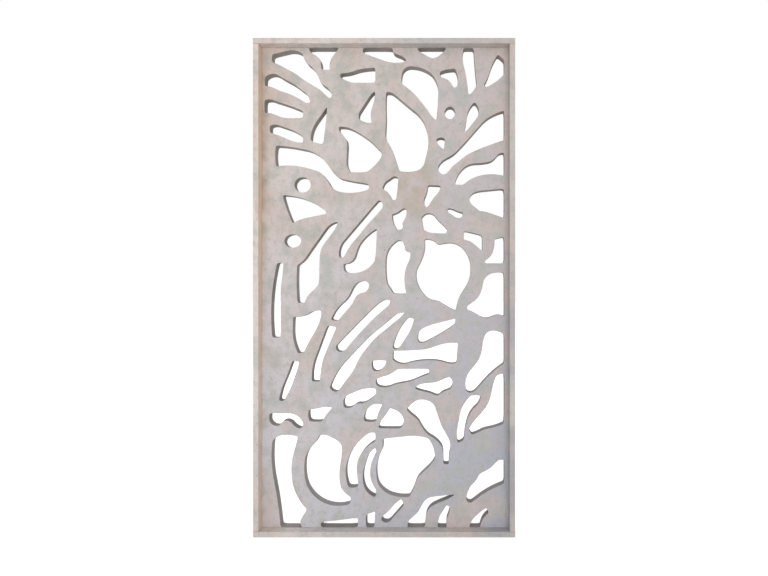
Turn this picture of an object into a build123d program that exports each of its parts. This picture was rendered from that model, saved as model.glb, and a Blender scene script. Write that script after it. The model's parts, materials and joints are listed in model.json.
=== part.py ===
"""A cast concrete jali screen: an openwork leaf panel with a raised border.

The leaf is one casting, forty millimetres thick, pierced right through by seventy-three
openings. Four narrow border strips are planted on its front face, bedded in mortar and
held by steel pins. Square bars lie inside the leaf and the strips, mitred where they
bend, and four threaded sockets are cast into the back near the corners.

Frame: Z is up, the pierced front looks towards -Y, and the origin is the middle of the
foot. All lengths are millimetres.
"""
import os
from build123d import *

os.makedirs("parts", exist_ok=True)

# Overall size of the screen.
WIDTH = 1050.0
HEIGHT = 2000.0
LEAF_THICK = 40.0
STRIP_WIDE = 22.0          # height or width of a border strip seen from the front
STRIP_DEEP = 40.0          # how far a strip stands out from its bed
BED = 2.0                  # mortar under the strips and between their ends

# Outlines of the openings and softening of edges.
TIP_SETBACK = 4.0          # how far from a corner of an opening its blunt tip starts
CURVE_FIT = 1.2            # an arc keeps this near to the curve that it stands for
STRAIGHT_FIT = 0.8         # a stretch flatter than this is drawn straight
LEAF_ARRIS = 3.0           # small bevel round the back of the leaf
STRIP_ROUND = 2.5          # rounding of the strips' front edges

# Square steel pins that tie the strips to the leaf.
PIN = 6.0
PIN_IN_LEAF = 17.0
PIN_IN_STRIP = 20.0
PIN_END_GAP = 125.0        # first and last pin of a strip, from the ends of the panel
HEAD_PINS = 4
JAMB_PINS = 6

# Square bars inside the leaf and the strips.
EDGE_BAR = 6.0
WEB_BAR = 5.0
STRIP_BAR = 5.0
EDGE_INSET = 11.0          # middle of the edge bars and pins from the panel's edge
BAR_STOP = 25.0            # concrete beyond the ends of the edge bars
BAR_DEEP = 22.0            # middle of the upright bars behind the leaf's front face
CROSS_BAR_DEEP = 28.0      # middle of the level bars, which lie behind the upright ones
STRIP_BAR_DEEP = 12.0      # middle of a strip's bar behind its front face

# Threaded sockets in the back, six-sided outside.
SOCKET_R = 8.0             # from the middle to a corner of the six sides
SOCKET_SIDES = 6
SOCKET_LONG = 28.0
SOCKET_BORE_R = 4.25       # tapping size of the ten millimetre thread
SOCKET_BORE_DEEP = 22.0
SOCKET_INSET = 36.0        # sockets from the sides, head and foot

# The pattern was drawn on a sheet this wide and high, from its bottom left corner.
SHEET_WIDE = 1050.0
SHEET_HIGH = 2000.0

# Planes in depth, from the front of the strips to the back of the leaf.
DEPTH = STRIP_DEEP + BED + LEAF_THICK
Y_FRONT = -DEPTH / 2
Y_STRIP_BACK = Y_FRONT + STRIP_DEEP
Y_LEAF = Y_STRIP_BACK + BED
Y_BACK = DEPTH / 2

# Every opening is a list of runs. A run starts at a corner of the opening and its curve
# ends where the next run starts, so a run of one point is a straight edge. Points are
# (across, up) on the pattern sheet.

OPENINGS = {
    # Upper left: the crown leaf and the fan of fingers below it.
    "crown_leaf": [
        [(62, 1951)],
        [(62, 1921), (88, 1911), (118, 1894), (150, 1878), (178, 1857), (205, 1839),
         (235, 1821), (260, 1806), (280, 1786)],
        [(299, 1772), (306, 1782), (298, 1802), (283, 1819), (264, 1833), (255, 1852),
         (243, 1877), (225, 1900), (205, 1917)],
        [(189, 1952), (168, 1965), (140, 1968), (105, 1962)]],
    "crown_funnel": [
        [(213, 1978), (218, 1964), (236, 1950), (255, 1936), (262, 1915)],
        [(264, 1889)],
        [(298, 1889), (299, 1922), (308, 1943), (324, 1961)],
        [(334, 1978)]],
    "finger_one": [
        [(33, 1855)],
        [(33, 1822), (62, 1818), (85, 1807), (120, 1795), (150, 1783), (178, 1768)],
        [(200, 1753)],
        [(218, 1756), (208, 1784), (185, 1804), (150, 1831), (112, 1851), (85, 1868),
         (55, 1871)]],
    "finger_two": [
        [(32, 1764)],
        [(32, 1712), (75, 1706), (105, 1694), (145, 1691)],
        [(189, 1694)],
        [(189, 1720), (155, 1734), (115, 1749), (80, 1759), (52, 1768)]],
    "finger_three": [
        [(54, 1660)],
        [(54, 1632), (90, 1621), (125, 1606), (158, 1594)],
        [(189, 1592)],
        [(189, 1613), (165, 1632), (130, 1648), (98, 1659), (72, 1665)]],
    "stem_wedge": [
        [(287, 1738), (268, 1712), (245, 1680), (229, 1650)],
        [(220, 1602), (244, 1590)],
        [(271, 1587), (276, 1630), (283, 1680)]],
    "sweep_leaf": [
        [(79, 1579), (75, 1540)],
        [(80, 1494), (120, 1499), (160, 1496), (198, 1490), (228, 1481), (256, 1471),
         (276, 1452), (290, 1434), (304, 1410), (330, 1394), (358, 1387), (395, 1387)],
        [(448, 1397), (458, 1410)],
        [(447, 1425), (410, 1430), (375, 1436), (342, 1444), (320, 1460), (302, 1483),
         (284, 1509), (260, 1533), (232, 1551), (198, 1562), (155, 1571), (115, 1577)]],
    # Upper middle.
    "head_slot": [
        [(433, 1978)],
        [(433, 1958), (460, 1947), (490, 1937), (525, 1924), (555, 1918)],
        [(592, 1919), (608, 1929), (592, 1944), (568, 1953)],
        [(553, 1978)]],
    "side_slot": [
        [(341, 1873)],
        [(341, 1857), (362, 1846)],
        [(385, 1836)],
        [(484, 1836)],
        [(484, 1897), (450, 1895), (420, 1891), (392, 1881), (368, 1876)]],
    "middle_wedge": [
        [(482, 1801), (470, 1792), (456, 1773), (440, 1749), (424, 1724), (415, 1700)],
        [(420, 1686), (442, 1675)],
        [(470, 1673), (472, 1740), (480, 1768)]],
    "left_petal": [
        [(334, 1656)],
        [(336, 1640), (350, 1624), (366, 1604), (369, 1575), (366, 1530), (368, 1500)],
        [(382, 1472), (415, 1470)],
        [(450, 1472), (471, 1489), (492, 1510)],
        [(508, 1532), (508, 1550), (492, 1570), (466, 1596), (440, 1616), (412, 1634),
         (385, 1648)]],
    "tall_petal": [
        [(528, 1798), (526, 1740), (527, 1670), (529, 1604), (546, 1576), (560, 1540),
         (570, 1510)],
        [(582, 1476), (615, 1472)],
        [(648, 1476), (676, 1493), (690, 1530), (699, 1570), (700, 1605), (694, 1640),
         (682, 1672), (664, 1701), (640, 1722), (612, 1745), (585, 1768)],
        [(552, 1797)]],
    "teardrop": [
        [(592, 1832), (590, 1855), (594, 1880), (608, 1897), (635, 1903), (668, 1897),
         (700, 1883), (724, 1860), (737, 1828), (740, 1785), (738, 1735)],
        [(733, 1684), (718, 1694), (704, 1715), (688, 1737), (666, 1764), (648, 1786),
         (625, 1806)]],
    "head_crescent": [
        [(655, 1978), (660, 1966), (680, 1955), (700, 1942), (722, 1936), (742, 1946),
         (760, 1960)],
        [(774, 1978)]],
    "hook": [
        [(748, 1880)],
        [(748, 1862), (766, 1854), (782, 1847), (793, 1834)],
        [(801, 1819), (811, 1817), (819, 1832), (820, 1860)],
        [(809, 1893), (788, 1891), (766, 1888)]],
    "head_thin_slot": [
        [(845, 1978), (845, 1905), (853, 1872), (859, 1830)],
        [(864, 1788), (874, 1792), (886, 1808)],
        [(898, 1824), (893, 1870), (888, 1925)],
        [(885, 1978)]],
    "edge_blade": [
        [(984, 1951), (970, 1928), (956, 1896), (946, 1866)],
        [(926, 1826), (938, 1820), (956, 1828), (976, 1840), (995, 1856)],
        [(1010, 1872)],
        [(1010, 1928)]],
    "seed_triangle": [
        [(732, 1604), (750, 1612)],
        [(768, 1606)],
        [(764, 1564), (752, 1572)]],
    "small_leaf": [
        [(888, 1756), (872, 1738), (860, 1710), (855, 1680)],
        [(845, 1634), (858, 1642), (874, 1662), (892, 1684), (904, 1708), (905, 1732)]],
    "right_petal_one": [
        [(1010, 1722), (980, 1712), (950, 1697), (925, 1678), (898, 1647), (873, 1618),
         (848, 1590), (820, 1560), (792, 1537), (764, 1522)],
        [(744, 1500), (744, 1474), (762, 1462), (782, 1474), (800, 1496), (825, 1515),
         (848, 1536), (872, 1551), (908, 1565), (945, 1581), (980, 1592)],
        [(1010, 1603)]],
    "right_petal_two": [
        [(1010, 1549), (990, 1546), (974, 1530), (955, 1515), (925, 1509), (890, 1507),
         (860, 1499), (836, 1480), (819, 1455)],
        [(808, 1420)],
        [(844, 1420), (866, 1439), (895, 1452), (930, 1461), (968, 1463)],
        [(1010, 1456)]],
    # Middle band.
    "heart_quad": [
        [(514, 1402), (520, 1424), (538, 1440), (556, 1452)],
        [(577, 1448), (575, 1405)],
        [(568, 1358), (552, 1361), (542, 1380), (528, 1394)]],
    "core_kite": [
        [(697, 1418)],
        [(750, 1416), (744, 1392), (724, 1370), (710, 1348)],
        [(695, 1326), (684, 1338), (684, 1362), (693, 1388)]],
    "seed_slot": [
        [(779, 1323)],
        [(779, 1309), (796, 1297), (812, 1287)],
        [(837, 1287)],
        [(842, 1306), (818, 1312), (800, 1320)]],
    "core_thumb": [
        [(553, 1301), (554, 1276), (562, 1254)],
        [(574, 1237), (591, 1239)],
        [(593, 1262), (606, 1284)],
        [(612, 1308), (604, 1323), (578, 1309)]],
    "core_fin": [
        [(672, 1280), (682, 1296), (702, 1303), (720, 1296), (740, 1274), (760, 1256)],
        [(778, 1234)],
        [(772, 1220), (735, 1222), (702, 1226)],
        [(680, 1238)]],
    "right_petal_three": [
        [(1010, 1404), (970, 1400), (930, 1396), (897, 1391), (878, 1381)],
        [(868, 1362), (874, 1343), (890, 1329)],
        [(906, 1313), (940, 1308), (974, 1296)],
        [(1010, 1284)]],
    "right_flag": [
        [(845, 1231)],
        [(845, 1194), (872, 1188), (896, 1170)],
        [(920, 1150)],
        [(920, 1213), (880, 1223)]],
    "right_boot": [
        [(970, 1197), (968, 1160), (956, 1131)],
        [(931, 1111)],
        [(931, 1099)],
        [(1010, 1099)],
        [(1010, 1205), (990, 1203)]],
    "left_triangle": [
        [(106, 1377), (116, 1342), (128, 1305)],
        [(147, 1262), (172, 1276), (212, 1286), (250, 1295)],
        [(282, 1301)],
        [(284, 1310), (258, 1328), (230, 1345), (202, 1358), (170, 1368), (135, 1374)]],
    "long_leaf": [
        [(330, 1268), (300, 1257), (276, 1231), (252, 1198), (230, 1166), (206, 1132),
         (184, 1104)],
        [(165, 1092), (163, 1050), (163, 1000)],
        [(167, 937)],
        [(196, 939), (205, 962), (230, 989), (249, 1008), (255, 1050), (256, 1110),
         (263, 1158), (282, 1188), (304, 1218), (322, 1244)]],
    "reed_left": [
        [(84, 1101), (73, 1055), (65, 1005), (60, 940), (60, 870)],
        [(64, 796)],
        [(98, 797), (98, 870), (98, 950), (100, 1020), (106, 1060)],
        [(109, 1100)]],
    "band_one": [
        [(499, 1357), (480, 1338), (458, 1311), (434, 1284), (410, 1256), (386, 1226),
         (362, 1199), (342, 1170)],
        [(338, 1122)],
        [(353, 1122), (368, 1148), (388, 1181), (412, 1207), (438, 1240), (466, 1273),
         (492, 1300)],
        [(514, 1328), (511, 1346)]],
    "band_leaf": [
        [(490, 1240), (468, 1227), (442, 1204), (420, 1178), (408, 1150), (399, 1121),
         (382, 1103)],
        [(356, 1097), (355, 1078)],
        [(364, 1062), (400, 1060), (436, 1068), (464, 1086), (481, 1108), (486, 1145),
         (489, 1190)]],
    "tall_leaf": [
        [(572, 1190), (588, 1192), (600, 1178)],
        [(605, 1151)],
        [(626, 1145), (625, 1118), (612, 1088), (604, 1058), (603, 1020)],
        [(611, 977), (584, 975)],
        [(555, 978), (544, 998)],
        [(531, 1015), (526, 1060), (526, 1110), (533, 1145), (550, 1172)]],
    "great_round": [
        [(684, 1196), (708, 1197), (730, 1184)],
        [(740, 1176), (765, 1180), (790, 1183), (818, 1176), (842, 1160), (860, 1134),
         (869, 1105), (873, 1072), (867, 1036), (854, 1007), (838, 981), (824, 955)],
        [(812, 906), (790, 915), (765, 931), (740, 944), (712, 951)],
        [(690, 963), (674, 982), (660, 1005), (651, 1035), (650, 1064), (660, 1090),
         (673, 1114), (682, 1142), (686, 1170)]],
    "right_petal_four": [
        [(1010, 1061), (982, 1062), (954, 1056), (933, 1040), (922, 1010), (914, 980),
         (900, 956), (880, 939)],
        [(858, 924)],
        [(860, 908), (880, 901), (900, 890), (920, 879), (945, 877), (970, 886),
         (990, 889)],
        [(1010, 882)]],
    # Lower band of slots.
    "band_hook": [
        [(406, 1016), (428, 1026), (451, 1023)],
        [(458, 1004), (448, 986)],
        [(430, 978), (410, 969), (396, 946), (380, 922), (360, 899), (344, 880)],
        [(331, 866), (316, 866)],
        [(303, 870), (312, 890), (327, 912), (346, 931), (364, 949), (378, 969),
         (390, 994)]],
    "band_two": [
        [(546, 949), (524, 949), (500, 937), (474, 916), (448, 891), (422, 865),
         (396, 838), (370, 811), (348, 788)],
        [(326, 766), (324, 750)],
        [(337, 738), (356, 742), (374, 762), (394, 786), (414, 808), (438, 834),
         (464, 862), (492, 888), (518, 910)],
        [(540, 928)]],
    "band_three": [
        [(603, 898), (580, 895), (554, 878), (524, 852), (492, 827), (460, 801),
         (432, 773), (404, 744), (376, 714), (350, 684), (327, 652), (308, 620)],
        [(298, 592), (314, 577)],
        [(334, 579), (346, 598), (361, 620), (380, 643), (397, 668), (408, 694),
         (426, 722), (447, 751), (470, 780), (500, 808), (532, 834), (562, 860),
         (588, 880)]],
    "left_quad": [
        [(149, 881)],
        [(147, 838), (149, 796), (157, 758)],
        [(170, 731)],
        [(193, 737), (206, 766), (222, 794), (240, 826), (255, 856)],
        [(263, 886)],
        [(262, 906), (228, 902), (202, 888), (178, 880)]],
    "reed_inner": [
        [(288, 846), (278, 818), (266, 784), (255, 754), (244, 726), (233, 695),
         (226, 660)],
        [(225, 617)],
        [(258, 617), (259, 652), (265, 686), (274, 714), (284, 744), (297, 774),
         (312, 806)],
        [(326, 839)]],
    "reed_low": [
        [(145, 701), (134, 667), (121, 634), (107, 600), (96, 568)],
        [(91, 539)],
        [(109, 537), (124, 564), (140, 593), (150, 624), (161, 655)],
        [(174, 698)]],
    "wave_slot": [
        [(53, 488)],
        [(51, 462), (62, 443), (80, 436), (94, 440), (106, 454), (124, 457), (140, 450),
         (154, 436)],
        [(176, 425), (187, 434)],
        [(189, 449), (178, 464), (164, 477), (146, 484), (112, 487)]],
    "low_triangle": [
        [(213, 502), (210, 478)],
        [(216, 456), (240, 453)],
        [(267, 455), (278, 473), (292, 493)],
        [(309, 510), (268, 511), (240, 505)]],
    "pod_slot": [
        [(484, 588), (452, 588), (424, 584), (398, 572), (374, 562)],
        [(357, 548), (353, 530)],
        [(357, 511), (376, 509), (393, 515), (407, 526), (428, 527), (448, 534),
         (465, 546), (480, 558)],
        [(488, 572)]],
    "pod_small": [
        [(479, 525), (462, 514), (448, 500), (440, 480)],
        [(438, 456), (462, 452)],
        [(488, 456), (493, 482), (503, 504)],
        [(512, 524)]],
    "pip_slot": [
        [(472, 701), (470, 680)],
        [(475, 663), (492, 659), (508, 667), (521, 681)],
        [(529, 701), (500, 703)]],
    "thumb_slot": [
        [(620, 877), (604, 861), (590, 842), (574, 814), (563, 784)],
        [(554, 755), (574, 750), (589, 766), (606, 792), (622, 818), (635, 846)],
        [(642, 873)]],
    "upper_wing": [
        [(812, 874), (780, 866), (746, 858), (712, 848), (684, 837), (665, 823)],
        [(657, 800), (662, 778)],
        [(688, 779), (718, 793), (750, 812), (780, 832)],
        [(808, 849)]],
    "wide_wing": [
        [(556, 742)],
        [(554, 708), (572, 693), (604, 690), (650, 700), (700, 704), (748, 701),
         (778, 692)],
        [(815, 693)],
        [(822, 774), (764, 771), (728, 761), (698, 749), (650, 745), (600, 742)]],
    "low_wing": [
        [(703, 668)],
        [(578, 668), (556, 653), (532, 640), (505, 634)],
        [(486, 622), (488, 605)],
        [(506, 595), (532, 594), (562, 605), (600, 612), (636, 621), (668, 635)],
        [(703, 647)]],
    "fish_slot": [
        [(645, 589), (668, 580), (694, 574), (718, 566), (738, 560), (758, 574),
         (784, 584)],
        [(797, 602), (797, 622)],
        [(786, 635), (768, 629), (745, 618), (712, 611), (674, 607)]],
    # Foot of the pattern.
    "stem_leaf": [
        [(611, 503), (630, 523), (650, 538), (674, 543), (700, 537), (722, 522),
         (732, 498), (742, 469), (753, 438), (766, 413), (781, 388), (790, 358),
         (786, 325)],
        [(784, 280)],
        [(762, 280), (761, 318), (757, 348), (745, 367), (727, 382), (704, 396),
         (686, 413), (672, 436), (659, 458), (640, 475)]],
    "thorn_triangle": [
        [(543, 509)],
        [(562, 502), (582, 490), (598, 468)],
        [(601, 450)],
        [(588, 426), (540, 425)],
        [(496, 427), (503, 449), (518, 470), (532, 488)]],
    "sickle": [
        [(878, 561), (856, 541), (839, 512), (828, 477), (821, 440), (816, 402)],
        [(820, 367), (834, 372)],
        [(846, 384), (849, 420), (856, 455), (868, 485), (884, 506), (903, 526)],
        [(912, 559)]],
    "edge_scythe": [
        [(1010, 806), (990, 819), (962, 824), (938, 815), (926, 792), (920, 755),
         (912, 720), (896, 690), (874, 665), (858, 641), (852, 612)],
        [(856, 577), (880, 573), (902, 591), (922, 614), (942, 637), (962, 656),
         (985, 673)],
        [(1010, 692)]],
    "edge_sail": [
        [(1010, 647), (988, 645)],
        [(974, 633), (964, 600), (956, 562), (944, 526), (925, 498), (902, 472),
         (882, 449)],
        [(865, 420)],
        [(876, 400), (900, 408), (930, 422), (962, 428), (985, 437)],
        [(1010, 446)]],
    "edge_foot_leaf": [
        [(1010, 297)],
        [(986, 296), (966, 275), (940, 254), (910, 238), (894, 212), (874, 192),
         (862, 168)],
        [(855, 142), (861, 126)],
        [(880, 124), (902, 144), (927, 159), (955, 178), (982, 189)],
        [(1010, 201)]],
    "great_foot": [
        [(514, 383)],
        [(514, 342), (502, 316), (491, 290), (488, 250), (490, 215), (498, 193),
         (514, 175), (535, 161), (562, 149), (590, 146)],
        [(622, 146), (634, 168), (645, 194), (654, 219), (670, 240), (690, 258),
         (712, 280)],
        [(727, 305), (724, 336), (714, 362)],
        [(700, 384), (656, 394), (610, 393), (560, 388)]],
    "root_slot": [
        [(591, 137), (570, 123), (552, 104), (534, 84)],
        [(511, 66), (512, 48)],
        [(524, 41), (540, 45), (556, 62), (572, 80), (587, 96)],
        [(601, 113)]],
    "root_branch": [
        [(808, 156), (768, 152), (730, 148), (700, 141), (681, 124), (666, 97),
         (650, 75), (630, 59)],
        [(616, 22)],
        [(685, 22), (688, 58), (697, 90), (714, 108), (746, 124), (778, 137)]],
    "root_spike": [
        [(774, 113), (762, 92), (749, 74), (741, 50)],
        [(738, 22)],
        [(776, 22), (774, 50), (783, 78)],
        [(789, 104)]],
    "root_thorn": [
        [(936, 101), (910, 82), (890, 63), (875, 45)],
        [(868, 22)],
        [(912, 22), (916, 46), (929, 64)],
        [(947, 82)]],
    "foot_tall_leaf": [
        [(64, 372), (78, 388), (105, 397), (138, 398)],
        [(168, 392), (156, 345), (145, 305), (141, 260), (146, 205), (160, 158),
         (180, 124)],
        [(204, 95), (190, 70), (178, 46)],
        [(186, 22)],
        [(98, 22), (92, 80), (85, 132), (75, 190), (65, 250), (60, 312)]],
    "foot_crescent": [
        [(256, 398), (285, 397), (310, 385), (332, 373)],
        [(347, 352), (345, 305), (338, 260), (338, 212), (345, 180), (360, 162)],
        [(385, 144)],
        [(380, 118), (340, 110), (300, 114), (262, 128), (236, 148), (213, 178),
         (198, 212), (194, 255), (196, 298), (208, 330), (230, 357), (246, 377)]],
    "moon_slot": [
        [(484, 407), (460, 406), (438, 392), (416, 371), (398, 348), (382, 320),
         (369, 288), (363, 252), (366, 216)],
        [(374, 187), (395, 184)],
        [(414, 190), (411, 222), (408, 258), (411, 292), (424, 320), (440, 340),
         (460, 358)],
        [(485, 374)]],
    "thin_moon": [
        [(484, 346), (468, 334), (454, 310), (443, 282), (434, 248), (433, 214),
         (439, 186), (452, 165), (468, 150)],
        [(482, 146), (487, 160)],
        [(484, 180), (471, 200), (464, 226), (463, 256), (468, 286), (477, 308)],
        [(489, 328)]],
    "sill_slot": [
        [(262, 22)],
        [(262, 43), (300, 47), (350, 52), (390, 58)],
        [(413, 59)],
        [(412, 22)]],
    "sill_notch": [
        [(446, 22)],
        [(446, 73), (464, 80)],
        [(483, 86)],
        [(480, 22)]],
}

# Three buds are plain ellipses: middle across, middle up, half width, half height.
BUDS = {
    "bud_left": (187, 1419, 33, 31),
    "bud_upper": (788, 1713, 21, 25),
    "bud_lower": (147, 1190, 34, 27),
}

# Middle lines of the web bars. Each keeps to the solid webs between the openings.
WEB_BARS = {
    "left_upper": [(352, 1975), (352, 1910), (322, 1870), (320, 1498)],
    "left_middle": [(508, 1900), (506, 1615), (534, 1530), (505, 1460), (482, 1400),
                    (462, 1352), (305, 1170), (298, 930)],
    "middle": [(560, 1842), (662, 1748), (717, 1645), (716, 1500), (645, 1420),
               (642, 1230), (655, 1150), (628, 1050), (645, 930)],
    "right_cross": [(1028, 1262), (822, 1262), (806, 1199), (700, 1212), (662, 1214)],
    "foot_cross": [(25, 411), (330, 411), (468, 431), (508, 409), (640, 411)],
    "right_lower": [(868, 855), (856, 720), (826, 640), (788, 500), (788, 430),
                    (803, 375), (835, 200), (838, 90)],
}


def on_panel(across, up):
    """A point of the pattern sheet, moved to the panel's own width and height."""
    return ((across / SHEET_WIDE - 0.5) * WIDTH, up / SHEET_HIGH * HEIGHT)


def arcs_along(side, start=0.0, end=1.0):
    """Arcs, or straights where it is nearly flat, that stand for a stretch of a curve."""
    halfway = (start + end) / 2
    probes = [side @ (start + (end - start) * eighth / 8) for eighth in range(1, 8)]
    straight = Line(side @ start, side @ end, mode=Mode.PRIVATE)
    if max(straight.distance_to(probe) for probe in probes) < STRAIGHT_FIT:
        return [straight]
    if straight.distance_to(side @ halfway) > STRAIGHT_FIT / 2:
        arc = ThreePointArc(side @ start, side @ halfway, side @ end, mode=Mode.PRIVATE)
        if max(arc.distance_to(probe) for probe in probes) < CURVE_FIT:
            return [arc]
    return arcs_along(side, start, halfway) + arcs_along(side, halfway, end)


def opening_shape(runs):
    """The flat shape of one opening, drawn in arcs, with a blunt tip at every corner."""
    starts = [on_panel(*run[0]) for run in runs]
    starts.append(starts[0])
    with BuildSketch() as shape:
        with BuildLine():
            sides = []
            for run, end in zip(runs, starts[1:]):
                points = [on_panel(*point) for point in run] + [end]
                if len(points) == 2:
                    side = Line(*points, mode=Mode.PRIVATE)
                else:
                    side = Spline(*points, mode=Mode.PRIVATE)
                cut = min(TIP_SETBACK / side.length, 0.3)
                sides.append(side.trim(cut, 1 - cut))
            for number, side in enumerate(sides):
                for piece in arcs_along(side):
                    add(piece)
                following = sides[(number + 1) % len(sides)]
                Line(side @ 1, following @ 0)
        make_face()
    return shape.sketch


def upright_plane(y):
    """A plane facing the front at depth y, with X across and Z up."""
    return Plane.XZ.offset(-y)


def pin_line(length, count):
    """Places of the pins along a strip, counted from its middle."""
    reach = length - 2 * PIN_END_GAP
    return [-reach / 2 + reach * number / (count - 1) for number in range(count)]


JAMB_HIGH = HEIGHT - 2 * STRIP_WIDE - 2 * BED
SIDE_X = WIDTH / 2 - EDGE_INSET
HEAD_PIN_SPOTS = [(x, HEIGHT - EDGE_INSET) for x in pin_line(WIDTH, HEAD_PINS)]
SILL_PIN_SPOTS = [(x, EDGE_INSET) for x in pin_line(WIDTH, HEAD_PINS)]
LEFT_PIN_SPOTS = [(-SIDE_X, HEIGHT / 2 + z) for z in pin_line(HEIGHT, JAMB_PINS)]
RIGHT_PIN_SPOTS = [(SIDE_X, HEIGHT / 2 + z) for z in pin_line(HEIGHT, JAMB_PINS)]
ALL_PIN_SPOTS = HEAD_PIN_SPOTS + SILL_PIN_SPOTS + LEFT_PIN_SPOTS + RIGHT_PIN_SPOTS

SOCKET_SPOTS = [(side * (WIDTH / 2 - SOCKET_INSET), z)
                for side in (-1, 1) for z in (SOCKET_INSET, HEIGHT - SOCKET_INSET)]


def pin_set(spots):
    """Square pins standing in the leaf, through the bed and into a strip."""
    with BuildPart() as pins:
        with BuildSketch(upright_plane(Y_LEAF + PIN_IN_LEAF)):
            with Locations(*spots):
                Rectangle(PIN, PIN)
        extrude(amount=PIN_IN_LEAF + BED + PIN_IN_STRIP)
    return pins.part


def socket_blanks():
    """The six-sided outside of the sockets, without their bores."""
    with BuildPart() as blanks:
        with BuildSketch(upright_plane(Y_BACK)):
            with Locations(*SOCKET_SPOTS):
                RegularPolygon(SOCKET_R, SOCKET_SIDES)
        extrude(amount=SOCKET_LONG)
    return blanks.part


def bar(path, width):
    """A square bar along a line of straight stretches, mitred where it bends."""
    with BuildPart() as piece:
        with BuildSketch(Plane(origin=path @ 0, x_dir=(0, 1, 0), z_dir=path % 0)):
            Rectangle(width, width)
        sweep(path=path, transition=Transition.RIGHT)
    return piece.part


def straight_bar(start, end, width):
    """A square bar between two points."""
    return bar(Line(start, end), width)


def web_bar(points, y):
    """A bar bent in the plane of the leaf, through points of the pattern sheet."""
    places = [on_panel(*point) for point in points]
    return bar(Polyline(*[(x, y, z) for x, z in places]), WEB_BAR)


UPRIGHT_BAR_Y = Y_LEAF + BAR_DEEP
LEVEL_BAR_Y = Y_LEAF + CROSS_BAR_DEEP
STRIP_BAR_Y = Y_FRONT + STRIP_BAR_DEEP
STRIP_MID = STRIP_WIDE / 2

left_edge_steel = straight_bar((-SIDE_X, UPRIGHT_BAR_Y, BAR_STOP),
                               (-SIDE_X, UPRIGHT_BAR_Y, HEIGHT - BAR_STOP), EDGE_BAR)
right_edge_steel = mirror(left_edge_steel, about=Plane.YZ)
foot_steel = straight_bar((-WIDTH / 2 + BAR_STOP, LEVEL_BAR_Y, EDGE_INSET),
                          (WIDTH / 2 - BAR_STOP, LEVEL_BAR_Y, EDGE_INSET), EDGE_BAR)
head_steel = Pos(0, 0, HEIGHT - 2 * EDGE_INSET) * foot_steel
web_steel = {name: web_bar(points, UPRIGHT_BAR_Y) for name, points in WEB_BARS.items()}

sill_strip_steel = straight_bar((-WIDTH / 2 + BAR_STOP, STRIP_BAR_Y, STRIP_MID),
                                (WIDTH / 2 - BAR_STOP, STRIP_BAR_Y, STRIP_MID),
                                STRIP_BAR)
head_strip_steel = Pos(0, 0, HEIGHT - STRIP_WIDE) * sill_strip_steel
left_strip_steel = straight_bar(
    (-WIDTH / 2 + STRIP_MID, STRIP_BAR_Y, STRIP_WIDE + BAR_STOP),
    (-WIDTH / 2 + STRIP_MID, STRIP_BAR_Y, HEIGHT - STRIP_WIDE - BAR_STOP), STRIP_BAR)
right_strip_steel = mirror(left_strip_steel, about=Plane.YZ)

# Steel pins, one set for each strip.
with BuildPart() as head_pins:
    add(pin_set(HEAD_PIN_SPOTS))
with BuildPart() as sill_pins:
    add(pin_set(SILL_PIN_SPOTS))
with BuildPart() as left_jamb_pins:
    add(pin_set(LEFT_PIN_SPOTS))
with BuildPart() as right_jamb_pins:
    add(pin_set(RIGHT_PIN_SPOTS))

# Sockets cast into the back, with round threaded bores.
with BuildPart() as corner_sockets:
    add(socket_blanks())
    with BuildSketch(upright_plane(Y_BACK)):
        with Locations(*SOCKET_SPOTS):
            Circle(SOCKET_BORE_R)
    extrude(amount=SOCKET_BORE_DEEP, mode=Mode.SUBTRACT)

# Bars cast into the leaf.
with BuildPart() as left_edge_bar:
    add(left_edge_steel)
with BuildPart() as right_edge_bar:
    add(right_edge_steel)
with BuildPart() as foot_bar:
    add(foot_steel)
with BuildPart() as head_bar:
    add(head_steel)
with BuildPart() as web_bar_left_upper:
    add(web_steel["left_upper"])
with BuildPart() as web_bar_left_middle:
    add(web_steel["left_middle"])
with BuildPart() as web_bar_middle:
    add(web_steel["middle"])
with BuildPart() as web_bar_right_cross:
    add(web_steel["right_cross"])
with BuildPart() as web_bar_foot_cross:
    add(web_steel["foot_cross"])
with BuildPart() as web_bar_right_lower:
    add(web_steel["right_lower"])

# Bars cast into the strips.
with BuildPart() as head_strip_bar:
    add(head_strip_steel)
with BuildPart() as sill_strip_bar:
    add(sill_strip_steel)
with BuildPart() as left_jamb_bar:
    add(left_strip_steel)
with BuildPart() as right_jamb_bar:
    add(right_strip_steel)

# The openwork leaf: one board pierced by every opening, with room for all it holds.
with BuildPart() as jali_leaf:
    with BuildSketch(upright_plane(Y_BACK)):
        Rectangle(WIDTH, HEIGHT, align=(Align.CENTER, Align.MIN))
        for runs in OPENINGS.values():
            add(opening_shape(runs), mode=Mode.SUBTRACT)
        for across, up, half_wide, half_high in BUDS.values():
            with Locations(on_panel(across, up)):
                Ellipse(half_wide * WIDTH / SHEET_WIDE, half_high * HEIGHT / SHEET_HIGH,
                        mode=Mode.SUBTRACT)
    extrude(amount=LEAF_THICK)
    back_rim = jali_leaf.faces().sort_by(Axis.Y)[-1].outer_wire().edges()
    chamfer(back_rim, LEAF_ARRIS)
    add(socket_blanks(), mode=Mode.SUBTRACT)
    add(pin_set(ALL_PIN_SPOTS), mode=Mode.SUBTRACT)
    for steel in (left_edge_steel, right_edge_steel, foot_steel, head_steel):
        add(steel, mode=Mode.SUBTRACT)
    for steel in web_steel.values():
        add(steel, mode=Mode.SUBTRACT)


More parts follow.
